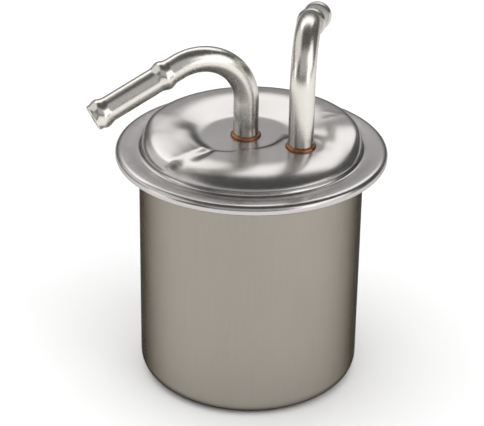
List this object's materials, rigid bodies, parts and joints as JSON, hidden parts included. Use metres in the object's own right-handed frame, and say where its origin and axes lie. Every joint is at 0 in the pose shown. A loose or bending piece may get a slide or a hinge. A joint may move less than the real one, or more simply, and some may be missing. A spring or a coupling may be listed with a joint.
{
  "type": "fuel filter",
  "caption": "Sealed canister fuel filter: drawn steel can with a rolled rim, stamped cover, two brazed hose pipes and a pleated paper element inside.",
  "frame": {"origin": "centre of the can's closed end, on the face it stands on", "axes": "+Z along the can's axis towards the pipes, +X towards the inlet pipe's side, the outlet pipe's mouth pointing to -X"},
  "size_m": [0.0943, 0.087, 0.123],
  "materials": {
    "stainless_body": "satin drawn stainless sheet",
    "stainless_cover": "satin stamped stainless sheet",
    "pipe_steel": "smooth bright stainless tube",
    "braze_copper": "copper braze, slightly oxidised",
    "plated_steel": "tin-plated sheet",
    "filter_paper": "resin-treated pleated paper",
    "potting_resin": "cured adhesive",
    "nitrile_rubber": "matte nitrile rubber",
    "spring_steel": "bright spring wire"
  },
  "bodies": {
    "root": {"can": "stainless_body", "cover": "stainless_cover", "outlet_pipe": "pipe_steel", "inlet_pipe": "pipe_steel", "outlet_braze_ring": "braze_copper", "inlet_braze_ring": "braze_copper", "top_end_cap": "plated_steel", "bottom_end_cap": "plated_steel", "filter_paper": "filter_paper", "pleat_seam_clip": "plated_steel", "centre_tube": "plated_steel", "upper_potting": "potting_resin", "lower_potting": "potting_resin", "outlet_grommet": "nitrile_rubber", "element_spring": "spring_steel"}
  },
  "joints": []
}
